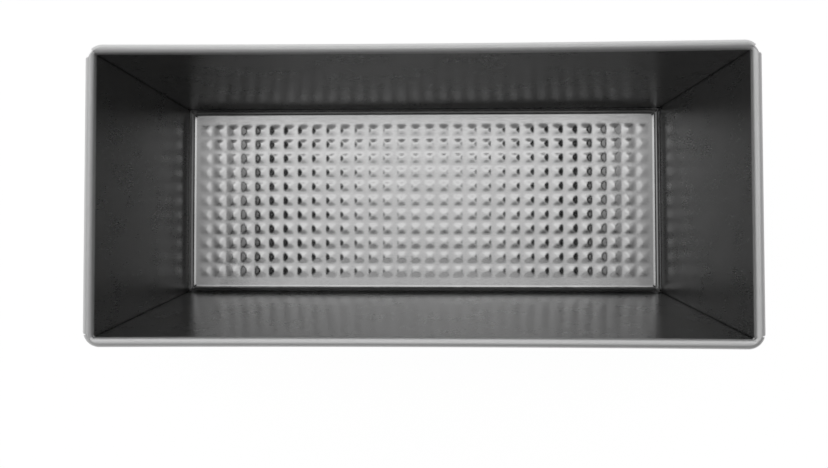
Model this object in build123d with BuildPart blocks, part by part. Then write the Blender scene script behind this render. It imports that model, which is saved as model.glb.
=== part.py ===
from build123d import *
import math
import os

# All lengths are in millimetres and all angles in degrees. X runs along the pan, Y across it,
# Z up. The origin is at the middle of the pan's underside.

# Sheet and wire stock
sheet_thickness = 0.6
wire_diameter = 2.0
wire_clearance = 0.03

# Inside of the pan, the opening measured between the inner edges of the rim
opening_length = 234.0
opening_width = 102.0
pan_depth = 92.0
wall_lean_angle = 5.9
floor_bend_radius = 3.0

# Rim, where the top edge of the sheet is curled outwards over the wire
rim_corner_radius = 4.4
curl_stop_angle = 130.0
curl_notch_gap = 0.2
back_turn_angle = 42.0
end_hem_front_inset = 1.5
end_hem_back_inset = 1.5
end_sleeve_half_angle = 100.0
hem_end_gap = 0.15
wire_joint_gap = 0.2

# Corner pleats, folded flat against the outside of the two end walls
pleat_layers = 2
pleat_middle_gap = 1.0
pleat_top_gap = 0.4
pleat_edge_radius = 1.0

# Dimples, stamped up into the pan in a square grid, shallower in the first and last columns.
# As many as fit, with this margin left between their edges and the bends of the floor.
dimple_pitch = 6.5
dimple_diameter = 5.0
dimple_height = 0.3
outer_dimple_height = 0.16
dimple_margin = 1.6

# How far cutting and crossing shapes run past what they cut
overrun = 5.0

# Sizes of the curl, which is as wide inside as the wire and its clearance
lean = math.radians(wall_lean_angle)
wire_radius = wire_diameter / 2
curl_inner_radius = wire_radius + wire_clearance
curl_outer_radius = curl_inner_radius + sheet_thickness
curl_start_angle = 180 - wall_lean_angle
rim_top = sheet_thickness + pan_depth
curl_height = rim_top - curl_outer_radius
wall_top = curl_height - curl_outer_radius - curl_notch_gap

# The floor is smaller than the opening by what the walls lean out on the way up
lean_run = (curl_height - sheet_thickness) * math.tan(lean)
lean_run = lean_run + curl_outer_radius / math.cos(lean) - curl_outer_radius
floor_length = opening_length - 2 * lean_run
floor_width = opening_width - 2 * lean_run

# Centre lines of the rim, where its straight lengths end, and where the end hems are cut off
rim_x = opening_length / 2 + curl_outer_radius
rim_y = opening_width / 2 + curl_outer_radius
bend_x = rim_x - rim_corner_radius
bend_y = rim_y - rim_corner_radius
end_hem_front = opening_width / 2 - end_hem_front_inset
end_hem_back = opening_width / 2 - end_hem_back_inset


def wall_distance(floor_span, height, skin):
    """Distance from the middle plane to a leaning wall, at a skin outside its inner face."""
    return floor_span / 2 + (height - sheet_thickness) * math.tan(lean) + skin / math.cos(lean)


def trough_profile(floor_span, skin, top):
    """Section of the floor and two walls, at a skin outside their inner faces, before its bends."""
    bottom = sheet_thickness - skin
    low = wall_distance(floor_span, bottom, skin)
    high = wall_distance(floor_span, top, skin)
    with BuildSketch() as profile:
        Polygon((-low, bottom), (low, bottom), (high, top), (-high, top), align=None)
    return profile.sketch


def hem_profile(floor_span, rim_distance):
    """Section of a hem: the top of the wall and the curl that it runs into."""
    turn = -(curl_start_angle + curl_stop_angle)
    foot_inside = (wall_distance(floor_span, wall_top, 0), wall_top)
    foot_outside = (wall_distance(floor_span, wall_top, sheet_thickness), wall_top)
    with BuildSketch() as profile:
        with BuildLine():
            outside = CenterArc((rim_distance, curl_height), curl_outer_radius, curl_start_angle, turn)
            inside = CenterArc((rim_distance, curl_height), curl_inner_radius, curl_start_angle, turn)
            Line(outside @ 1, inside @ 1)
            Polyline(outside @ 0, foot_inside, foot_outside, inside @ 0)
        make_face()
    return profile.sketch


def curl_profile(rim_distance, start_angle, stop_angle):
    """Section of the curl alone, from one angle over its outer side to another."""
    turn = -(start_angle + stop_angle)
    with BuildSketch() as profile:
        with BuildLine():
            outside = CenterArc((rim_distance, curl_height), curl_outer_radius, start_angle, turn)
            inside = CenterArc((rim_distance, curl_height), curl_inner_radius, start_angle, turn)
            Line(outside @ 0, inside @ 0)
            Line(outside @ 1, inside @ 1)
        make_face()
    return profile.sketch


def dimple_count(floor_span):
    """How many dimples fit in a row across the flat part of the floor."""
    flat_span = floor_span - 2 * floor_bend_radius * math.tan((math.pi / 2 - lean) / 2)
    return math.floor((flat_span - dimple_diameter - 2 * dimple_margin) / dimple_pitch) + 1


def dimple_sphere(height):
    """Radius and centre height of the sphere that a dimple's upper face is part of."""
    radius = ((dimple_diameter / 2) ** 2 + height**2) / (2 * height)
    return radius, sheet_thickness + height - radius


# Space inside the walls, where the loaf goes
with BuildPart() as loaf_space:
    with BuildSketch(Plane.XZ):
        add(trough_profile(floor_length, 0, rim_top + overrun))
    extrude(amount=rim_y + overrun, both=True)
    with BuildSketch(Plane.YZ.offset(-rim_x)):
        add(trough_profile(floor_width, 0, rim_top + overrun))
    extrude(amount=2 * rim_x, mode=Mode.INTERSECT)
    fillet(loaf_space.edges().group_by(Axis.Z)[0], radius=floor_bend_radius)

# Pleats: the spare metal of the folded corners, laid double over the end walls. The half angle
# of the corner's spare metal, less what the corner leans over, gives the slope of the folded edge.
pleat_skin = (1 + pleat_layers) * sheet_thickness
pleat_foot = floor_bend_radius + sheet_thickness
pleat_top = wall_top - pleat_top_gap
pleat_slope = math.tan(math.radians(45 - 2 * wall_lean_angle))
pleat_corner_low = wall_distance(floor_width, pleat_foot, sheet_thickness)
pleat_corner_high = wall_distance(floor_width, pleat_top, sheet_thickness)
pleat_fold_high = pleat_corner_low - (pleat_top - pleat_foot) * pleat_slope
with BuildPart() as end_pleats:
    with BuildSketch(Plane.XZ):
        Polygon(
            (wall_distance(floor_length, pleat_foot, sheet_thickness / 2), pleat_foot),
            (wall_distance(floor_length, pleat_foot, pleat_skin), pleat_foot),
            (wall_distance(floor_length, pleat_top, pleat_skin), pleat_top),
            (wall_distance(floor_length, pleat_top, sheet_thickness / 2), pleat_top),
            align=None,
        )
    extrude(amount=rim_y + overrun, both=True)
    with BuildSketch(Plane.YZ):
        Polygon(
            (pleat_corner_low, pleat_foot),
            (pleat_corner_high, pleat_top),
            (pleat_fold_high, pleat_top),
            align=None,
        )
        with Locations((pleat_middle_gap / 2, 0)):
            Rectangle(rim_y, rim_top, align=(Align.MIN, Align.MIN), mode=Mode.INTERSECT)
    extrude(amount=rim_x + overrun, mode=Mode.INTERSECT)
    corner_face = end_pleats.faces().sort_by(Axis.Y)[-1]
    fillet(corner_face.edges().sort_by(Axis.X)[-1], radius=pleat_edge_radius)
    mirror(about=Plane.XZ)
    mirror(about=Plane.YZ)

# The curl of one turn of the front hem, as far as the flat cut where it meets the end hem
with BuildPart() as front_turn:
    with BuildSketch(Plane.YZ.offset(bend_x)):
        add(curl_profile(rim_y, curl_start_angle, curl_stop_angle))
    revolve(axis=Axis((bend_x, bend_y, 0), (0, 0, -1)), revolution_arc=90)
    with Locations((rim_x, end_hem_front + hem_end_gap, curl_height)):
        Box(
            2 * rim_corner_radius,
            2 * rim_corner_radius,
            2 * rim_corner_radius,
            align=(Align.CENTER, Align.MAX, Align.CENTER),
            mode=Mode.SUBTRACT,
        )

# Turns of the two long hems round the corners of the rim. The back ones stop short, and the
# wire shows bare there.
with BuildPart() as hem_turns:
    with BuildSketch(Plane.YZ.offset(bend_x)):
        add(curl_profile(rim_y, curl_start_angle, curl_stop_angle))
    revolve(axis=Axis((bend_x, bend_y, 0), (0, 0, -1)), revolution_arc=back_turn_angle)
    add(mirror(front_turn.part, about=Plane.XZ, mode=Mode.PRIVATE))
    mirror(about=Plane.YZ)

# Curls of the two end hems, with the open sleeves that run on past the bends of the wire
with BuildPart() as end_hems:
    with BuildSketch(Plane.XZ):
        add(hem_profile(floor_length, rim_x))
    extrude(amount=bend_y, both=True)
    with BuildSketch(Plane.XZ.offset(bend_y)):
        add(curl_profile(rim_x, end_sleeve_half_angle, end_sleeve_half_angle))
    extrude(amount=end_hem_front - bend_y)
    with BuildSketch(Plane.XZ.offset(-bend_y)):
        add(curl_profile(rim_x, end_sleeve_half_angle, end_sleeve_half_angle))
    extrude(amount=-(end_hem_back - bend_y))
    mirror(about=Plane.YZ)

# One dimple's solid cap and the hollow under it, for the full and for the shallow dimples
dimple_caps = []
dimple_hollows = []
for height in (dimple_height, outer_dimple_height):
    radius, centre_height = dimple_sphere(height)
    with BuildPart() as cap_shape:
        with Locations((0, 0, centre_height)):
            Sphere(radius)
        split(bisect_by=Plane.XY.offset(sheet_thickness), keep=Keep.TOP)
    with BuildPart() as hollow_shape:
        with Locations((0, 0, centre_height)):
            Sphere(radius - sheet_thickness)
        split(bisect_by=Plane.XY, keep=Keep.TOP)
    dimple_caps.append(cap_shape.part)
    dimple_hollows.append(hollow_shape.part)

# The folded sheet
with BuildPart() as pan_body:
    with BuildSketch(Plane.XZ):
        add(trough_profile(floor_length, sheet_thickness, wall_top))
    extrude(amount=rim_y + overrun, both=True)
    with BuildSketch(Plane.YZ.offset(-rim_x)):
        add(trough_profile(floor_width, sheet_thickness, wall_top))
    extrude(amount=2 * rim_x, mode=Mode.INTERSECT)
    fillet(pan_body.edges().group_by(Axis.Z)[0], radius=floor_bend_radius + sheet_thickness)
    add(end_pleats.part)
    add(loaf_space.part, mode=Mode.SUBTRACT)
    with BuildSketch(Plane.YZ):
        add(hem_profile(floor_width, rim_y))
        mirror(about=Plane.YZ)
    extrude(amount=bend_x, both=True)
    add(hem_turns.part)
    add(end_hems.part)
    columns = dimple_count(floor_length)
    rows = dimple_count(floor_width)
    inner_grid = GridLocations(dimple_pitch, dimple_pitch, columns - 2, rows)
    outer_grid = GridLocations((columns - 1) * dimple_pitch, dimple_pitch, 2, rows)
    for grid, cap, hollow in zip((inner_grid, outer_grid), dimple_caps, dimple_hollows):
        with grid:
            add(cap)
            add(hollow, mode=Mode.SUBTRACT)
pan_body.part.label = "pan_body"

# The wire, bent to a closed hoop whose ends meet inside the back hem
with BuildPart() as rim_wire:
    with BuildLine() as wire_path:
        FilletPolyline(
            (wire_joint_gap / 2, rim_y, curl_height),
            (rim_x, rim_y, curl_height),
            (rim_x, -rim_y, curl_height),
            (-rim_x, -rim_y, curl_height),
            (-rim_x, rim_y, curl_height),
            (-wire_joint_gap / 2, rim_y, curl_height),
            radius=rim_corner_radius,
        )
    with BuildSketch(Plane(wire_path.line @ 0, z_dir=(1, 0, 0))):
        Circle(wire_radius)
    sweep()
rim_wire.part.label = "rim_wire"

os.makedirs("parts", exist_ok=True)
export_step(pan_body.part, "parts/pan_body.step")
export_step(rim_wire.part, "parts/rim_wire.step")
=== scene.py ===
"""Looks of a tall loaf pan: one folded steel sheet with a dimpled floor, hemmed over a rim wire.

All lengths are in metres and all angles in radians, unless a name says degrees. The frame is the
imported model's: X runs along the pan, Y across it and Z up, from the middle of its underside.
"""

import logging
import math
from dataclasses import dataclass, field
from enum import Enum
from typing import Any, Optional, Sequence, Union

import bpy
import numpy as np
from mathutils import Euler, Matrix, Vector


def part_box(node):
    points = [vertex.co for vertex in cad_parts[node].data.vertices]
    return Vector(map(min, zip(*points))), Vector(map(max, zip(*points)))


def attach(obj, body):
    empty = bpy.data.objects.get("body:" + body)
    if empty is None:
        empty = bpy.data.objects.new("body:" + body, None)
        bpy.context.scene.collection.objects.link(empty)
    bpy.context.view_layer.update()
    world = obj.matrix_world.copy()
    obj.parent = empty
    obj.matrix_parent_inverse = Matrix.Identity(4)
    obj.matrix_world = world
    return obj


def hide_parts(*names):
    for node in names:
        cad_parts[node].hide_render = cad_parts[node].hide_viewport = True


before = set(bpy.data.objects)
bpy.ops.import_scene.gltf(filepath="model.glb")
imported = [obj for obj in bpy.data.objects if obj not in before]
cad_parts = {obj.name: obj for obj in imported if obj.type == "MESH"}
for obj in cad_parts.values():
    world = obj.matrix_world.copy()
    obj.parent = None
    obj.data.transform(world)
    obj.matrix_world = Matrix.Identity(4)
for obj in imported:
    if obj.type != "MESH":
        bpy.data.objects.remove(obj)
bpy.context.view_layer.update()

MM = 0.001
SHEET_NODE = "pan_body"
WIRE_NODE = "rim_wire"
GRAIN_PLACE = "grain_place"
LOG = logging.getLogger("loaf_pan")


class Side(Enum):
    """One of the pan's four sides: the axis that it faces along, and the sign of that direction."""

    FRONT = ("y", -1.0)
    BACK = ("y", 1.0)
    LEFT = ("x", -1.0)
    RIGHT = ("x", 1.0)

    @property
    def is_long(self) -> bool:
        """Whether this is one of the two long sides."""
        return self.value[0] == "y"

    def place(self, along: Any, out: Any, height: Any) -> np.ndarray:
        """Turns places on this side into points.

        Args:
            along: Place along the side, on the positive axis that it runs along.
            out: Distance out from the pan's middle plane.
            height: Height over the underside.

        Returns:
            Points, in an array with one more axis than the three inputs have together.
        """
        along, out, height = np.broadcast_arrays(along, out, height)
        axis, sign = self.value
        if axis == "y":
            return np.stack((along, sign * out, height), axis=-1)
        return np.stack((sign * out, along, height), axis=-1)

    def unfold(self, along: Any, run: Any) -> np.ndarray:
        """Turns places on this side's sheet into places in the flat blank that it was folded from.

        Args:
            along: Place along the side.
            run: Distance out from the middle, over the sheet.

        Returns:
            Places, with the blank's rolling direction, the pan's X, as the first coordinate.
        """
        return self.place(along, run, 0.0)


@dataclass(frozen=True)
class Strip:
    """Section of a sheet: the points of its loaf side, and the way from each to its outer side."""

    points: np.ndarray
    outward: np.ndarray

    def skin(self, depth: Any) -> tuple[np.ndarray, np.ndarray]:
        """Distances out and heights of the layer at a depth behind the loaf side."""
        moved = self.points + np.asarray(depth)[..., None] * self.outward
        return moved[..., 0], moved[..., 1]

    def run(self) -> np.ndarray:
        """Distance along the section from its first point to each point, as a column."""
        steps = np.linalg.norm(np.diff(self.points, axis=0), axis=1)
        return np.concatenate(((0.0,), np.cumsum(steps)))[:, None]

    def join(self, other: "Strip") -> "Strip":
        """This strip followed by another one, which starts where this one ends."""
        points = np.concatenate((self.points, other.points[1:]))
        return Strip(points, np.concatenate((self.outward, other.outward[1:])))


@dataclass(frozen=True)
class PanSizes:
    """Sizes of the pan. The rim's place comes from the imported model, the rest from its stock.

    The rim's place is that of the wire's middle line. The back hem follows the corner through the
    back turn and stops there. The end hems are cut off inside the long hems by the end hem's inset,
    and the front hem's turns stop a hem gap short of them. Each long side is bowed in by its bow.
    """

    rim_x: float
    rim_y: float
    rim_top: float
    sheet: float = 0.6 * MM
    wire_radius: float = 1.0 * MM
    wire_clearance: float = 0.03 * MM
    lean: float = math.radians(5.9)
    floor_bend: float = 3.0 * MM
    rim_corner: float = 4.4 * MM
    curl_stop: float = math.radians(-130.0)
    notch_gap: float = 0.2 * MM
    back_turn: float = math.radians(42.0)
    end_hem_inset: float = 1.5 * MM
    hem_gap: float = 0.5 * MM
    front_bow: float = 0.40 * MM
    back_bow: float = 0.48 * MM

    @classmethod
    def from_frame(cls) -> "PanSizes":
        """Works the rim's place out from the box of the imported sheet.

        The box ends at the outside of the hems, which lies the curl's outer radius past the wire's
        middle line.

        Returns:
            The sizes.
        """
        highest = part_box(SHEET_NODE)[1]
        curl = cls.wire_radius + cls.wire_clearance + cls.sheet
        return cls(rim_x=highest.x - curl, rim_y=highest.y - curl, rim_top=highest.z)

    @property
    def curl_inner(self) -> float:
        """Radius inside the curl of a hem."""
        return self.wire_radius + self.wire_clearance

    @property
    def curl_outer(self) -> float:
        """Radius outside the curl of a hem."""
        return self.curl_inner + self.sheet

    @property
    def curl_height(self) -> float:
        """Height of the curl's centre line, which is the wire's."""
        return self.rim_top - self.curl_outer

    @property
    def curl_start(self) -> float:
        """Angle round the curl, from straight outwards, where the wall runs into it."""
        return math.pi - self.lean

    @property
    def wall_top(self) -> float:
        """Height where a wall ends and the foot of its hem starts."""
        return self.curl_height - self.curl_outer - self.notch_gap

    @property
    def bend_run(self) -> float:
        """How far the floor's bend reaches from the sharp corner between floor and wall."""
        return self.floor_bend * math.tan(math.pi / 4 - self.lean / 2)

    @property
    def bend_x(self) -> float:
        """Where the straight part of a long hem ends."""
        return self.rim_x - self.rim_corner

    @property
    def bend_y(self) -> float:
        """Where the straight part of an end hem ends."""
        return self.rim_y - self.rim_corner

    @property
    def end_hem_half(self) -> float:
        """Distance from the middle to where the end hems are cut off, inside the long hems."""
        return self.rim_y - self.curl_outer - self.end_hem_inset

    def rim_distance(self, side: Side) -> float:
        """Distance from the middle to the centre line of a side's hem."""
        return self.rim_y if side.is_long else self.rim_x

    def half_floor(self, side: Side) -> float:
        """Distance from the middle to the sharp corner between the floor and a side's wall."""
        climb = (self.curl_height - self.sheet) * math.tan(self.lean)
        return self.rim_distance(side) - climb - self.curl_outer / math.cos(self.lean)

    def wall_distance(self, side: Side, height: Any, depth: float = 0.0) -> Any:
        """Distance from the middle to a wall at a height, at a depth behind its loaf side."""
        climb = (height - self.sheet) * math.tan(self.lean)
        return self.half_floor(side) + climb + depth / math.cos(self.lean)

    def bow(self, side: Side, along: Any, height: Any) -> Any:
        """How far a long side is bowed in towards the loaf.

        The bow is a parabola along the side, nothing at its ends, and grows evenly from nothing at
        the floor to its full depth at the hem.

        Args:
            side: Side of the pan. The end walls are flat.
            along: Place along the side.
            height: Height over the underside.

        Returns:
            Distance inwards.
        """
        depth = {Side.FRONT: self.front_bow, Side.BACK: self.back_bow}.get(side, 0.0)
        share = np.clip((height - self.sheet) / (self.curl_height - self.sheet), 0, 1)
        return depth * share * np.clip(1 - (along / self.bend_x) ** 2, 0, 1)


@dataclass
class Shape:
    """Points and faces of one piece, gathered from closed solids.

    Each point also has a place in the steel before it was bent, whose first coordinate runs along
    the direction that the sheet was rolled or the wire was drawn in.
    """

    points: list[np.ndarray] = field(default_factory=list)
    grains: list[np.ndarray] = field(default_factory=list)
    faces: list[tuple[int, ...]] = field(default_factory=list)

    def add(self, points: np.ndarray, grain: np.ndarray, faces: list[tuple[int, ...]]) -> None:
        """Adds a closed solid, turned so that its faces point outwards.

        The volume is summed over the tetrahedra between the origin and fans of each face. Where the
        sum is negative the solid is inside out, and every face is reversed.

        Args:
            points: Points of the solid, one row each.
            grain: Their places in the steel before it was bent.
            faces: Faces, as indices into the points.
        """
        volume = 0.0
        for corners in {len(face) for face in faces}:
            block = points[np.array([face for face in faces if len(face) == corners])]
            for second in range(1, corners - 1):
                normal = np.cross(block[:, second], block[:, second + 1])
                volume += float(np.einsum("ij,ij->", block[:, 0], normal))
        start = sum(len(group) for group in self.points)
        step = 1 if volume > 0 else -1
        self.points.append(points)
        self.grains.append(grain)
        self.faces.extend(tuple(start + i for i in face[::step]) for face in faces)

    def add_sheet(self, front: np.ndarray, back: np.ndarray, grain: np.ndarray) -> None:
        """Adds the solid between two grids of points, one on each side of a sheet.

        Each grid becomes quads between neighbouring rows and columns, and strips of quads join the
        two grids round their four edges.

        Args:
            front: Grid of points, by row, column and coordinate.
            back: Grid of the same size on the other side of the sheet.
            grain: Grid of their places in the flat blank, the same for both.
        """
        rows, columns = front.shape[:2]
        count = rows * columns
        index = np.arange(count).reshape(rows, columns)
        corners = (index[:-1, :-1], index[1:, :-1], index[1:, 1:], index[:-1, 1:])
        quads = np.stack(corners, axis=-1).reshape(-1, 4)
        edge = np.concatenate((index[0, :-1], index[:-1, -1], index[-1, :0:-1], index[:0:-1, 0]))
        after = np.roll(edge, -1)
        rim = np.stack((edge, after, after + count, edge + count), axis=-1)
        faces = np.concatenate((quads, quads[:, ::-1] + count, rim))
        points = np.concatenate((front.reshape(-1, 3), back.reshape(-1, 3)))
        grain = np.tile(grain.reshape(-1, 3), (2, 1))
        self.add(points, grain, [tuple(face) for face in faces.tolist()])

    def add_bar(self, loops: np.ndarray, grain: np.ndarray) -> None:
        """Adds a solid bar from a row of closed loops, with a flat face over each end.

        Args:
            loops: Points by loop, place round the loop and coordinate.
            grain: Their places in the steel before it was bent.
        """
        rows, columns = loops.shape[:2]
        index = np.arange(rows * columns).reshape(rows, columns)
        turned = np.roll(index, -1, axis=1)
        quads = np.stack((index[:-1], index[1:], turned[1:], turned[:-1]), axis=-1).reshape(-1, 4)
        faces = [tuple(face) for face in quads.tolist()]
        faces.append(tuple(index[0].tolist()))
        faces.append(tuple(index[-1, ::-1].tolist()))
        self.add(loops.reshape(-1, 3), grain.reshape(-1, 3), faces)

    def piece(self, name: str, sharp_degrees: float = 35.0) -> bpy.types.Object:
        """Makes the mesh object, smooth except along edges that turn more than an angle.

        Args:
            name: Name of the piece.
            sharp_degrees: Turn between two faces from which their edge is sharp.

        Returns:
            The object, linked to the scene, at the origin.
        """
        mesh = bpy.data.meshes.new(name)
        mesh.from_pydata(np.concatenate(self.points), [], self.faces)
        mesh.shade_smooth()
        mesh.set_sharp_from_angle(angle=math.radians(sharp_degrees))
        places = mesh.attributes.new(GRAIN_PLACE, "FLOAT_VECTOR", "POINT")
        places.data.foreach_set("vector", np.concatenate(self.grains).astype(np.float32).ravel())
        mesh.update()
        made = bpy.data.objects.new(name, mesh)
        bpy.context.scene.collection.objects.link(made)
        return made


Value = Union["Signal", float, Sequence[float]]


class Signal:
    """Output of a shader node that takes part in Python arithmetic through Math nodes."""

    def __init__(self, graph: "Graph", socket: Optional[bpy.types.NodeSocket]) -> None:
        """Wraps a socket of a graph."""
        self.graph = graph
        self.socket = socket

    def _math(self, operation: str, *values: Value) -> "Signal":
        """Adds a Math node."""
        return self.graph.node("Math", {"operation": operation}, *values)

    def __add__(self, other: Value) -> "Signal":
        """Sum."""
        return self._math("ADD", self, other)

    def __radd__(self, other: Value) -> "Signal":
        """Sum, reflected."""
        return self._math("ADD", other, self)

    def __sub__(self, other: Value) -> "Signal":
        """Difference."""
        return self._math("SUBTRACT", self, other)

    def __rsub__(self, other: Value) -> "Signal":
        """Difference, reflected."""
        return self._math("SUBTRACT", other, self)

    def __mul__(self, other: Value) -> "Signal":
        """Product."""
        return self._math("MULTIPLY", self, other)

    def __rmul__(self, other: Value) -> "Signal":
        """Product, reflected."""
        return self._math("MULTIPLY", other, self)

    def most(self, other: Value) -> "Signal":
        """The larger of two values."""
        return self._math("MAXIMUM", self, other)

    def ramp(self, start: float, end: float, low: float = 0.0, high: float = 1.0) -> "Signal":
        """Smooth climb from low to high while this value goes from start to end."""
        settings = {"interpolation_type": "SMOOTHSTEP"}
        return self.graph.node("MapRange", settings, self, start, end, low, high)


class Graph:
    """Node tree of a material or of the world, filled through one method."""

    def __init__(self, owner: Union[bpy.types.Material, bpy.types.World]) -> None:
        """Empties the owner's node tree."""
        owner.use_nodes = True
        self.tree = owner.node_tree
        self.tree.nodes.clear()

    def node(self, kind: str, settings: dict[str, Any], *values: Value, **named: Value) -> Signal:
        """Adds a shader node.

        Args:
            kind: Type of the node, without its ShaderNode prefix.
            settings: Properties of the node, which are set first.
            values: Values or links of its first inputs, in order.
            named: Values or links of inputs by name, with _ for each space.

        Returns:
            The node's first output that is in use. A closing output node has none.
        """
        made = self.tree.nodes.new("ShaderNode" + kind)
        for key, value in settings.items():
            setattr(made, key, value)
        slots = [slot for slot in made.inputs if slot.enabled]
        pairs = list(zip(slots, values))
        by_name = {slot.name: slot for slot in slots}
        pairs += [(by_name[key.replace("_", " ")], value) for key, value in named.items()]
        for slot, value in pairs:
            if isinstance(value, Signal):
                self.tree.links.new(value.socket, slot)
            else:
                slot.default_value = value
        outputs = [slot for slot in made.outputs if slot.enabled]
        return Signal(self, outputs[0] if outputs else None)

    def output_of(self, signal: Signal, name: str) -> Signal:
        """Another output of the node that a signal comes from."""
        return Signal(self, signal.socket.node.outputs[name])


def grey(level: float) -> tuple[float, float, float, float]:
    """Opaque grey, with one level for its red, green and blue."""
    return level, level, level, 1.0


@dataclass(frozen=True)
class SteelFinish:
    """Satin steel: its greys, gloss, rolled grain, stains, rubbed high spots and painted curl
    highlight.

    A noise's stretch is how many times longer its spots are along the rolling direction. The steel
    is rubbed smoothest at the height of the rub's end, which is near the dimples' tops, and less
    down to its start and up to its limit. It is more matt above the wall's rise. The curl's foot is
    the height where the curl's painted highlight starts: a paler grey standing in for the light that
    the curled rim catches.
    """

    name: str
    light: float
    dark: float
    roughness: float
    curl_foot: float
    grain_size: float = 0.5 * MM
    grain_stretch: float = 5.0
    grain_detail: float = 3.0
    grain_depth: float = 0.0015 * MM
    groove_size: float = 0.15 * MM
    groove_stretch: float = 30.0
    groove_detail: float = 1.0
    groove_depth: float = 0.012 * MM
    stain_size: float = 14.0 * MM
    stain_detail: float = 4.0
    stain_share: float = 0.7
    tone_span: tuple[float, float] = (0.3, 0.7)
    roughness_spread: float = 0.04
    rub_start: float = 0.75 * MM
    rub_end: float = 0.88 * MM
    rub_limit: float = 1.6 * MM
    rub_polish: float = 0.03
    wall_rise: tuple[float, float] = (1.0 * MM, 4.0 * MM)
    wall_matte: float = 0.0
    curl_blend: float = 1.2 * MM
    curl_matte: float = 0.0
    curl_highlight_grey: float = 0.92

    def material(self) -> bpy.types.Material:
        """Builds the material from Object coordinates and from places in the flat blank.

        Colour goes between the two greys with a soft stain noise, weighed with the rolled grain.
        Roughness follows both noises, falls on the tops of the dimples and climbs from the floor to
        the walls. The grain and a finer, longer groove noise drive the bump. Over the foot of the curl
        the steel is more matt, and its colour is painted a paler grey there, a painted highlight for
        the light that the curled rim catches. A piece that has no such foot gives a height over its
        own top.

        Returns:
            The material.
        """
        made = bpy.data.materials.new(self.name)
        graph = Graph(made)
        place = graph.output_of(graph.node("TexCoord", {}), "Object")
        height = graph.output_of(graph.node("SeparateXYZ", {}, place), "Z")
        blank = graph.node("Attribute", {"attribute_name": GRAIN_PLACE})
        blank = graph.output_of(blank, "Vector")
        noises = []
        for size, stretch, detail in (
            (self.grain_size, self.grain_stretch, self.grain_detail),
            (self.groove_size, self.groove_stretch, self.groove_detail),
        ):
            stretched = graph.node("Mapping", {}, blank, Scale=(1.0 / stretch, 1.0, 1.0))
            noises.append(graph.node("TexNoise", {}, stretched, Scale=1.0 / size, Detail=detail))
        grain, groove = noises
        stain = graph.node("TexNoise", {}, place, Scale=1.0 / self.stain_size, Detail=self.stain_detail)
        tone = (stain * self.stain_share + grain * (1.0 - self.stain_share)).ramp(*self.tone_span)
        plain = graph.node("Mix", {"data_type": "RGBA"}, tone, grey(self.dark), grey(self.light))
        # Painted highlight: over the curl the colour is painted a paler grey; the same mask makes it
        # more matt.
        curl_highlight_and_matte = height.ramp(self.curl_foot, self.curl_foot + self.curl_blend)
        colour = graph.node("Mix", {"data_type": "RGBA"}, curl_highlight_and_matte, plain, grey(self.curl_highlight_grey))
        rubbed = height.ramp(self.rub_start, self.rub_end) * height.ramp(self.rub_limit, self.rub_end)
        raised = height.ramp(*self.wall_rise)
        rough = (stain + grain - 1.0) * self.roughness_spread + self.roughness
        rough = rough - rubbed * self.rub_polish + raised * self.wall_matte + curl_highlight_and_matte * self.curl_matte
        # The relief is in metres, so the bump's distance is one metre.
        relief = grain * self.grain_depth + groove * self.groove_depth
        bump = graph.node("Bump", {}, Strength=1.0, Distance=1.0, Height=relief)
        shader = graph.node("BsdfPrincipled", {}, Base_Color=colour, Metallic=1.0,
                            Roughness=rough, Normal=bump)
        graph.node("OutputMaterial", {}, shader)
        return made


@dataclass
class Workshop:
    """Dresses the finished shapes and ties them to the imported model."""

    sheet_finish: SteelFinish
    wire_finish: SteelFinish
    count: int = 0

    def __post_init__(self) -> None:
        """Builds the two materials."""
        self.sheet_material = self.sheet_finish.material()
        self.wire_material = self.wire_finish.material()

    def finish(self, shape: Shape, name: str, node: str = SHEET_NODE) -> None:
        """Makes a piece, gives it its material, hides the CAD node that it replaces and attaches it.

        Args:
            shape: The piece's points and faces.
            name: Name of the piece.
            node: CAD node that it replaces.
        """
        piece = shape.piece(name)
        is_wire = node == WIRE_NODE
        piece.data.materials.append(self.wire_material if is_wire else self.sheet_material)
        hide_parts(node)
        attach(piece, "root")
        self.count += 1
        LOG.info("%s: %d points, %d faces", name, len(piece.data.vertices), len(piece.data.polygons))


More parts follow.
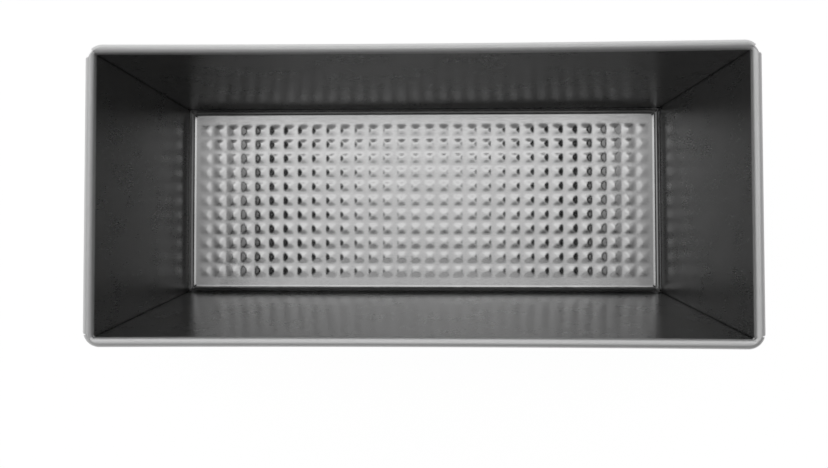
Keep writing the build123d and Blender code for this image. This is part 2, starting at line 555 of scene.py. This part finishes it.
@dataclass
class DimpledFloor:
    """The flat part of the floor, stamped up into dimples on a square grid."""

    sizes: PanSizes
    pitch: float = 6.5 * MM
    dimple_radius: float = 2.5 * MM
    dimple_height: float = 0.3 * MM
    outer_height: float = 0.16 * MM
    margin: float = 1.6 * MM
    squareness: float = 5.0
    tip_softness: float = 0.22
    foot_softness: float = 0.08
    cells_per_pitch: int = 10
    border_cells: int = 3

    def flat_half(self, side: Side) -> float:
        """Distance from the middle to where the bend of a side starts."""
        return self.sizes.half_floor(side) - self.sizes.bend_run

    def count(self, side: Side) -> int:
        """How many dimples fit in a row that runs towards a side."""
        room = 2 * (self.flat_half(side) - self.dimple_radius - self.margin)
        return math.floor(room / self.pitch) + 1

    def squares(self, places: np.ndarray, side: Side) -> tuple[np.ndarray, np.ndarray]:
        """Finds the dimple grid's square that each place lies in.

        Args:
            places: Places towards a side.
            side: Side that the row of dimples runs towards.

        Returns:
            Number of each square in its row, and how far each place is from the square's middle.
        """
        count = self.count(side)
        number = np.clip(np.floor(places / self.pitch + count / 2), 0, count - 1)
        return number, places - (number + 0.5 - count / 2) * self.pitch

    def rise(self, x: np.ndarray, y: np.ndarray) -> np.ndarray:
        """Height of the dimples over the flat sheet.

        Each point is measured from the middle of its own square of the grid, as a share r of the
        dimple's radius, by the root of the sum of powers that gives a squared circle. The root of r
        squared plus the tip's softness squared falls away from the middle as a low pyramid with a
        rounded tip, scaled to u, which is 1 at the middle and 0 at the radius. The rise is half of
        u plus the root of u squared and the foot's softness squared, which ends in a small fillet.

        Args:
            x: Places along the pan.
            y: Places across the pan.

        Returns:
            Heights, on the grid that the two inputs span.
        """
        column, offset_x = self.squares(x, Side.RIGHT)
        offset_y = self.squares(y, Side.BACK)[1]
        powers = [
            (np.abs(offset) / self.dimple_radius) ** self.squareness
            for offset in (offset_x, offset_y)
        ]
        share = np.add.outer(*powers) ** (1 / self.squareness)
        foot = math.hypot(1.0, self.tip_softness)
        u = (foot - np.hypot(share, self.tip_softness)) / (foot - self.tip_softness)
        is_outer = (column == column[0]) | (column == column[-1])
        height = np.where(is_outer, self.outer_height, self.dimple_height)[:, None]
        return height * (u + np.hypot(u, self.foot_softness)) / 2

    def grid(self, side: Side) -> np.ndarray:
        """Grid lines across the floor: even ones over the dimples and a few over the plain border.

        Args:
            side: Side that the row of lines runs towards.

        Returns:
            Places of the lines, from the opposite side to this one.
        """
        count = self.count(side)
        field_half = count * self.pitch / 2
        lines = np.linspace(-field_half, field_half, count * self.cells_per_pitch + 1)
        border = np.linspace(field_half, self.flat_half(side), self.border_cells + 1)[1:]
        return np.concatenate((-border[::-1], lines, border))

    def build(self, workshop: Workshop) -> None:
        """Makes the floor as one sheet, with the dimples' hollows under it.

        Args:
            workshop: Workshop that finishes the piece.
        """
        x, y = self.grid(Side.RIGHT), self.grid(Side.BACK)
        rise = self.rise(x, y)
        # The fillets' faint tails end here, so that the floor's edge meets the walls' bends.
        rise[[0, -1]] = 0.0
        rise[:, [0, -1]] = 0.0
        plan = np.broadcast_arrays(x[:, None], y[None, :])
        upper, lower, flat = (np.stack((*plan, height), -1)
                              for height in (self.sizes.sheet + rise, rise, 0 * rise))
        shape = Shape()
        shape.add_sheet(upper, lower, flat)
        workshop.finish(shape, "pan_floor")


@dataclass
class Wall:
    """One wall with the bend that joins it to the floor."""

    sizes: PanSizes
    side: Side
    valley: float = 0.5 * MM
    bend_steps: int = 16
    height_steps: int = 24
    length_steps: int = 60
    edge_steps: int = 6

    def strip(self) -> Strip:
        """Section of the wall: a quarter turn of the bend, less the lean, and the straight over it.

        Returns:
            The section, from the floor up.
        """
        s = self.sizes
        angle = np.linspace(-math.pi / 2, -s.lean, self.bend_steps + 1)
        ring = np.stack((np.cos(angle), np.sin(angle)), axis=-1)
        centre = np.array((s.half_floor(self.side) - s.bend_run, s.sheet + s.floor_bend))
        bend = Strip(centre + s.floor_bend * ring, ring)
        height = np.linspace(bend.points[-1, 1], s.wall_top, self.height_steps + 1)
        wall = np.stack((s.wall_distance(self.side, height), height), axis=-1)
        return bend.join(Strip(wall, np.broadcast_to(ring[-1], wall.shape)))

    def build(self, workshop: Workshop) -> None:
        """Makes the wall as one sheet.

        Its ends follow the mitre with the next walls. Its loaf side turns away from the loaf in a
        quarter round along that mitre, and leaves the thin groove of a folded corner.

        Args:
            workshop: Workshop that finishes the piece.
        """
        s = self.sizes
        strip = self.strip()
        across = Side.RIGHT if self.side.is_long else Side.BACK
        shift = s.half_floor(across) - s.half_floor(self.side)
        inner = strip.points[:, 0] + shift
        outer = strip.skin(s.sheet)[0] + shift
        share = np.linspace(0, 1, self.edge_steps + 1)[:-1]
        middle = np.linspace(-1, 1, self.length_steps + 1)
        along = []
        for half in (inner, outer):
            edge = half[:, None] - self.valley * share
            straight = (half[:, None] - self.valley) * middle
            along.append(np.concatenate((-edge, straight, edge[:, ::-1]), axis=1))
        turn = self.valley * (1 - np.sqrt(1 - (1 - share) ** 2))
        depth = np.concatenate((turn, np.zeros_like(middle), turn[::-1]))
        points = strip.points[:, None] + depth[None, :, None] * strip.outward[:, None]
        back = (strip.points + s.sheet * strip.outward)[:, None]
        skins = (
            self.side.place(u, skin[..., 0] - s.bow(self.side, u, skin[..., 1]), skin[..., 1])
            for u, skin in ((along[0], points), (along[1], back))
        )
        shape = Shape()
        shape.add_sheet(*skins, self.side.unfold(along[0], s.half_floor(self.side) + strip.run()))
        workshop.finish(shape, f"{self.side.name.lower()}_wall")


@dataclass
class Pleat:
    """Spare metal of one folded corner, laid double over the outside of an end wall."""

    sizes: PanSizes
    end: Side
    long_side: Side
    layers: int = 2
    middle_gap: float = 1.0 * MM
    top_gap: float = 0.4 * MM
    least_width: float = 2.6 * MM
    height_steps: int = 48
    round_steps: int = 8

    def build(self, workshop: Workshop) -> None:
        """Makes the pleat from closed loops in plan, one for each height.

        A loop starts at the corner of the two outer skins, goes round it in a quarter circle, runs
        along the end wall to the folded edge and turns back there in a half circle. The folded edge
        starts near the corner at the bottom and climbs towards the middle at 45 degrees less twice
        the lean, until it meets the pleat from the other corner.

        Args:
            workshop: Workshop that finishes the piece.
        """
        s = self.sizes
        foot = s.floor_bend + s.sheet
        height = np.linspace(foot, s.wall_top - self.top_gap, self.height_steps + 1)
        thick = self.layers * s.sheet / math.cos(s.lean)
        face = s.wall_distance(self.end, height, s.sheet)[:, None]
        corner = s.wall_distance(self.long_side, height, s.sheet)[:, None]
        climb = math.tan(math.pi / 4 - 2 * s.lean) * (height - foot)[:, None]
        fold = np.clip(corner[0] - climb, self.middle_gap / 2, corner - self.least_width)
        quarter = np.linspace(math.pi / 2, 0, self.round_steps + 1)
        half = np.linspace(0, -math.pi, 2 * self.round_steps + 1)
        out = (face + thick * np.cos(quarter), face + thick / 2 * (1 + np.cos(half)))
        along = (corner + thick * (np.sin(quarter) - 1), fold + thick / 2 * (1 + np.sin(half)))
        sign = self.long_side.value[1]
        loops = self.end.place(sign * np.concatenate(along, 1), np.concatenate(out, 1), height[:, None])
        shape = Shape()
        # On an end wall the rolling direction runs up the wall, so the height comes first.
        shape.add_bar(loops, loops[..., ::-1])
        workshop.finish(shape, f"{self.end.name.lower()}_pleat_{self.long_side.name.lower()}")


@dataclass
class Hem:
    """Top edge of one side, curled outwards over the wire."""

    sizes: PanSizes
    side: Side
    end_round: float = 1.2 * MM
    curl_steps: int = 48
    length_steps: int = 60
    turn_steps: int = 20
    flank_steps: int = 12

    def curl(self, start: float, stop: float, steps: int) -> Strip:
        """Section of the curl: an arc round the wire's middle.

        Args:
            start: Angle where the arc starts, measured from straight outwards.
            stop: Angle where it stops.
            steps: Number of its steps.

        Returns:
            The section, with its outer side towards the wire.
        """
        s = self.sizes
        angle = np.linspace(start, stop, steps + 1)
        ring = np.stack((np.cos(angle), np.sin(angle)), axis=-1)
        centre = np.array((s.rim_distance(self.side), s.curl_height))
        return Strip(centre + s.curl_outer * ring, -ring)

    def section(self, stop: float, steps: int) -> Strip:
        """Section of the hem: its foot, in line with the wall, and the curl.

        Args:
            stop: Angle where the curl stops, measured from straight outwards.
            steps: Number of the curl's steps.

        Returns:
            The section, from the top of the wall on.
        """
        s = self.sizes
        curl = self.curl(s.curl_start, stop, steps)
        height = np.array((s.wall_top, curl.points[0, 1]))
        foot = np.stack((s.wall_distance(self.side, height), height), axis=-1)
        return Strip(foot, curl.outward[[0, 0]]).join(curl)

    def straight(self, shape: Shape) -> None:
        """Adds the straight length of the hem.

        An end hem's two ends are cut square, with their outer corners rounded in plan. A point
        that lies further out than the round's centre ends sooner, by the round's radius less the
        root of its square less the square of the distance past that centre.

        Args:
            shape: Shape that the length is added to.
        """
        s = self.sizes
        strip = self.section(s.curl_stop, self.curl_steps)
        middle = np.linspace(-1, 1, self.length_steps + 1)
        skins = []
        for depth in (0.0, s.sheet):
            out, height = (part[:, None] for part in strip.skin(depth))
            half = np.full_like(out, s.bend_x)
            if not self.side.is_long:
                past = out - (s.rim_x + s.curl_outer - self.end_round)
                past = np.clip(past, 0, self.end_round)
                half = s.end_hem_half - self.end_round + np.sqrt(self.end_round**2 - past**2)
            along = half * middle
            bow = s.bow(self.side, along, s.curl_height)
            skins.append(self.side.place(along, out - bow, height))
        shape.add_sheet(*skins, self.side.unfold(along, strip.run()))

    def flank(self, shape: Shape, sign: float) -> None:
        """Adds the hem's inner half past its straight length, up to the opening's sharp corner.

        A point of the section ends at the mitre of the two sides, or where it meets the circle of
        the wire's middle line, whichever comes first.

        Args:
            shape: Shape that the flank is added to.
            sign: Side of the corner along the hem.
        """
        s = self.sizes
        is_long = self.side.is_long
        start, bend = (s.bend_x, s.bend_x) if is_long else (s.end_hem_half, s.bend_y)
        centre = s.bend_y if is_long else s.bend_x
        mitre = (s.rim_x - s.rim_y) * (1 if is_long else -1)
        strip = self.section(math.pi / 2, self.turn_steps)
        share = np.linspace(0, 1, self.flank_steps + 1)
        skins = []
        for depth in (0.0, s.sheet):
            out, height = (part[:, None] for part in strip.skin(depth))
            reach = np.sqrt(np.clip(s.rim_corner**2 - (out - centre) ** 2, 0, None))
            end = np.maximum(np.minimum(out + mitre, bend + reach), start)
            along = sign * (start + (end - start) * share)
            skins.append(self.side.place(along, out, height))
        shape.add_sheet(*skins, self.side.unfold(along, strip.run()))

    def turn(self, shape: Shape, sign: float) -> None:
        """Adds the curl's turn round a corner of the rim.

        A point of the section goes round the corner's centre at its own radius. The back hem's
        turns stop at one angle. The front hem's stop at one plane, just short of the end hem, which
        a point at radius r reaches where r times the cosine of the angle is the plane's distance.
        The inner half of the curl stays straight instead, as the hem's flank.

        Args:
            shape: Shape that the turn is added to.
            sign: Side of the corner along X.
        """
        s = self.sizes
        strip = self.curl(math.pi / 2, s.curl_stop, self.curl_steps)
        skins = []
        for depth in (0.0, s.sheet):
            out, height = (part[:, None] for part in strip.skin(depth))
            radius = out - s.bend_y
            if self.side is Side.BACK:
                stop = np.full_like(radius, s.back_turn)
            else:
                plane = s.end_hem_half + s.hem_gap - s.bend_y
                stop = np.arccos(np.clip(plane / radius, -1, 1))
            angle = stop * np.linspace(0, 1, self.turn_steps + 1)
            along = sign * (s.bend_x + radius * np.sin(angle))
            skins.append(self.side.place(along, s.bend_y + radius * np.cos(angle), height))
        shape.add_sheet(*skins, self.side.unfold(s.rim_corner * angle, strip.run()))

    def build(self, workshop: Workshop) -> None:
        """Makes the hem: its straight length, its flanks and, on a long side, its turns.

        Args:
            workshop: Workshop that finishes the piece.
        """
        shape = Shape()
        self.straight(shape)
        for sign in (-1.0, 1.0):
            self.flank(shape, sign)
            if self.side.is_long:
                self.turn(shape, sign)
        workshop.finish(shape, f"{self.side.name.lower()}_hem")


@dataclass
class RimWire:
    """The wire hoop inside the hems. Its ends meet in the middle of the back."""

    sizes: PanSizes
    joint_gap: float = 0.2 * MM
    round_steps: int = 32
    turn_steps: int = 16
    run_steps: int = 20

    def build(self, workshop: Workshop) -> None:
        """Makes the wire as a bar along a rounded rectangle.

        The right half of its middle line runs from the joint in the back, through two quarter
        circles, to the middle of the front, and the left half is its mirror image. At each of its
        points the wire's loop lies in the plane of the outward direction and the vertical.

        Args:
            workshop: Workshop that finishes the piece.
        """
        s = self.sizes
        quarter = np.linspace(0, math.pi / 2, self.turn_steps + 1)
        half = np.linspace(self.joint_gap / 2, s.bend_x, self.run_steps + 1)[:-1]
        path = [np.stack((half, np.full_like(half, s.rim_y)), axis=-1)]
        for turn, corner in enumerate(((1, 1), (1, -1))):
            angle = math.pi / 2 - quarter - turn * math.pi / 2
            ring = np.stack((np.cos(angle), np.sin(angle)), axis=-1)
            path.append(np.array(corner) * (s.bend_x, s.bend_y) + s.rim_corner * ring)
        low = np.linspace(s.bend_x, 0, self.run_steps + 1)[1:]
        path.append(np.stack((low, np.full_like(low, -s.rim_y)), axis=-1))
        right = np.concatenate(path)
        middle = np.concatenate((right, right[-2::-1] * (-1, 1)))
        way = np.gradient(middle, axis=0)
        outward = np.stack((-way[:, 1], way[:, 0]), axis=-1)
        outward /= np.linalg.norm(outward, axis=1, keepdims=True)
        # Each long run follows the bow of its side.
        for side in (Side.FRONT, Side.BACK):
            on_side = np.sign(middle[:, 1]) == side.value[1]
            bow = s.bow(side, middle[:, 0], s.curl_height)
            middle[:, 1] -= np.where(on_side & (abs(middle[:, 0]) < s.bend_x), side.value[1] * bow, 0)
        around = np.linspace(0, 2 * math.pi, self.round_steps, endpoint=False)
        flat = middle[:, None] + s.wire_radius * outward[:, None] * np.cos(around)[None, :, None]
        height = s.curl_height + s.wire_radius * np.sin(around)
        height = np.broadcast_to(height, flat.shape[:2])
        run = np.cumsum(np.linalg.norm(way, axis=1))[:, None]
        grain = np.stack(np.broadcast_arrays(run, s.wire_radius * np.cos(around), height), axis=-1)
        shape = Shape()
        shape.add_bar(np.concatenate((flat, height[..., None]), axis=-1), grain)
        workshop.finish(shape, "rim_wire_hoop", WIRE_NODE)


@dataclass(frozen=True)
class Lamp:
    """A soft rectangular lamp over the pan, turned to face the middle of its underside."""

    name: str
    place: tuple[float, float, float]
    size: tuple[float, float]
    strength: float

    def build(self) -> None:
        """Makes the lamp. Its strength is the radiance over its whole face."""
        data = bpy.data.lights.new(self.name, "AREA")
        data.shape = "RECTANGLE"
        data.size, data.size_y = self.size
        data.energy = self.strength * math.pi * self.size[0] * self.size[1]
        made = bpy.data.objects.new(self.name, data)
        made.location = self.place
        made.rotation_euler = (-Vector(self.place)).to_track_quat("-Z", "Y").to_euler()
        made.visible_camera = False
        bpy.context.scene.collection.objects.link(made)
        LOG.info("%s placed", self.name)


@dataclass(frozen=True)
class PhotoCamera:
    """Camera that looks nearly straight down, as the photograph's did."""

    place: tuple[float, float, float] = (4.7 * MM, -9.1 * MM, 392.5 * MM)
    turn_degrees: tuple[float, float, float] = (1.760, 1.840, -0.064)
    focal_pixels: float = 851.0
    axis_pixel: tuple[float, float] = (405.6, 193.9)
    frame_pixels: tuple[float, float] = (828.0, 468.0)
    sensor_width: float = 36.0
    nearest: float = 10.0 * MM

    def build(self) -> None:
        """Makes the camera and gives it to the scene."""
        data = bpy.data.cameras.new("photo_camera")
        data.sensor_fit = "HORIZONTAL"
        data.sensor_width = self.sensor_width
        width, height = self.frame_pixels
        data.lens = self.sensor_width * self.focal_pixels / width
        data.shift_x = (width / 2 - self.axis_pixel[0]) / width
        data.shift_y = (self.axis_pixel[1] - height / 2) / width
        data.clip_start = self.nearest
        made = bpy.data.objects.new("photo_camera", data)
        made.location = self.place
        made.rotation_euler = Euler([math.radians(turn) for turn in self.turn_degrees], "XYZ")
        bpy.context.scene.collection.objects.link(made)
        bpy.context.scene.camera = made


@dataclass
class Studio:
    """Pale floor, soft sky and lamps.

    The seen and mirrored shares say how much of the floor is glow to the camera and to mirroring
    steel. The band's sines are those of the heights between which the sky fades from the horizon's
    brightness to the zenith's.
    """

    floor_half: float = 3.0
    floor_drop: float = 0.1 * MM
    floor_level: float = 0.85
    floor_glow: float = 1.08
    seen_share: float = 0.9
    mirrored_share: float = 0.5
    horizon: float = 0.5
    zenith: float = 0.03
    band_sines: tuple[float, float] = (0.55, 0.85)
    back_lift: float = 0.75
    right_fall: float = 0.4
    lamps: tuple[Lamp, ...] = (
        Lamp("front_lamp", (-0.01, 0.06, 1.2), (0.80, 0.84), 0.52),
        Lamp("key_lamp", (-0.01, 0.14, 1.2), (0.77, 0.58), 0.56),
        Lamp("back_lamp", (-0.01, 0.27, 1.2), (0.74, 0.32), 0.42),
        Lamp("wide_lamp", (-0.05, 0.30, 1.2), (1.0, 1.1), 0.04),
    )

    def build_floor(self) -> None:
        """Makes the floor, nearly white with the pan's shadow on it, and clear from underneath.

        It is paper mixed with a glow. The glow's share depends on the ray that meets the floor, so
        that it lifts what the camera and the mirroring steel see, and lights nothing else.
        """
        mesh = bpy.data.meshes.new("studio_floor")
        signs = ((-1, -1), (1, -1), (1, 1), (-1, 1))
        corners = [(x * self.floor_half, y * self.floor_half, -self.floor_drop) for x, y in signs]
        mesh.from_pydata(corners, [], [(0, 1, 2, 3)])
        made = bpy.data.objects.new("studio_floor", mesh)
        bpy.context.scene.collection.objects.link(made)
        material = bpy.data.materials.new("studio_paper")
        graph = Graph(material)
        path = graph.node("LightPath", {})
        mirrored = graph.output_of(path, "Is Glossy Ray")
        share = (path * self.seen_share).most(mirrored * self.mirrored_share)
        paper = graph.node("BsdfDiffuse", {}, grey(self.floor_level))
        glow = graph.node("Emission", {}, grey(1.0), self.floor_glow)
        mixed = graph.node("MixShader", {}, share, paper, glow)
        below = graph.output_of(graph.node("NewGeometry", {}), "Backfacing")
        open_below = graph.node("MixShader", {}, below, mixed, graph.node("BsdfTransparent", {}))
        graph.node("OutputMaterial", {}, open_below)
        mesh.materials.append(material)

    def build_world(self) -> None:
        """Makes the sky: pale round the horizon, most at the back and the left, and dim overhead.

        The band's brightness is multiplied by 1, plus the back's lift times the view's Y, less the
        right's fall times its X.
        """
        world = bpy.data.worlds.new("studio_sky")
        bpy.context.scene.world = world
        graph = Graph(world)
        way = graph.output_of(graph.node("TexCoord", {}), "Generated")
        parts = graph.node("SeparateXYZ", {}, way)
        band = graph.output_of(parts, "Z").ramp(*self.band_sines, self.horizon, self.zenith)
        lift = graph.output_of(parts, "Y") * self.back_lift - parts * self.right_fall
        sky = graph.node("Background", {}, grey(1.0), band * (lift + 1.0))
        graph.node("OutputWorld", {}, sky)

    def build(self) -> None:
        """Makes the floor, the sky, the lamps and the camera, and sets how colours are shown."""
        self.build_floor()
        self.build_world()
        for lamp in self.lamps:
            lamp.build()
        PhotoCamera().build()
        bpy.context.scene.view_settings.view_transform = "Standard"


def main() -> None:
    """Builds the pan's pieces in order, then the studio round it."""
    logging.basicConfig(level=logging.INFO, format="%(name)s: %(message)s")
    sizes = PanSizes.from_frame()
    workshop = Workshop(
        # The sheet's curl, from the wall's top up, is painted paler as a painted highlight.
        SteelFinish("satin_steel_sheet", light=0.43, dark=0.38, roughness=0.13,
                    curl_foot=sizes.wall_top, curl_matte=0.31, wall_matte=0.15),
        SteelFinish("bright_rim_wire", light=0.80, dark=0.72, roughness=0.42,
                    curl_foot=sizes.rim_top),
    )
    DimpledFloor(sizes).build(workshop)
    for side in Side:
        Wall(sizes, side).build(workshop)
        Hem(sizes, side).build(workshop)
    for end in (Side.LEFT, Side.RIGHT):
        for long_side in (Side.FRONT, Side.BACK):
            Pleat(sizes, end, long_side).build(workshop)
    RimWire(sizes).build(workshop)
    LOG.info("%d pieces made", workshop.count)
    Studio().build()


if __name__ == "__main__":
    main()
